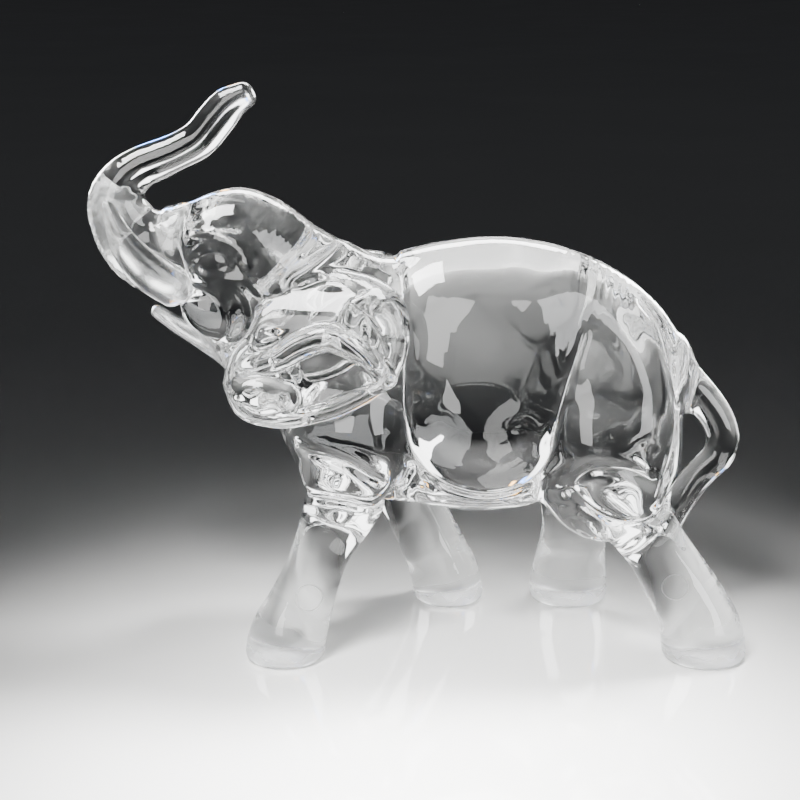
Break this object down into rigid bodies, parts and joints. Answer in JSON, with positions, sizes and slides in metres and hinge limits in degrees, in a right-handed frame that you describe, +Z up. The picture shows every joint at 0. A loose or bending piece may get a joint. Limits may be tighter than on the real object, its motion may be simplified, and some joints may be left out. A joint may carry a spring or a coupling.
{
  "type": "glass elephant figurine",
  "caption": "Clear glass elephant, walking with its trunk raised, that stands on its own soles; its pieces are bonded face to face.",
  "frame": {"origin": "middle of the bounding box, on the plane that the four soles stand on", "axes": "+Z up, head towards -X, the figure's left side towards -Y"},
  "size_m": [0.0811, 0.0307, 0.0693],
  "materials": {
    "clear_glass": "polished"
  },
  "bodies": {
    "root": {"torso": "clear_glass", "head": "clear_glass", "trunk": "clear_glass", "lower_lip": "clear_glass", "tusk_left": "clear_glass", "tusk_right": "clear_glass", "ear_left": "clear_glass", "ear_right": "clear_glass", "leg_front_left": "clear_glass", "leg_front_right": "clear_glass", "leg_rear_left": "clear_glass", "leg_rear_right": "clear_glass", "tail": "clear_glass"}
  },
  "joints": []
}
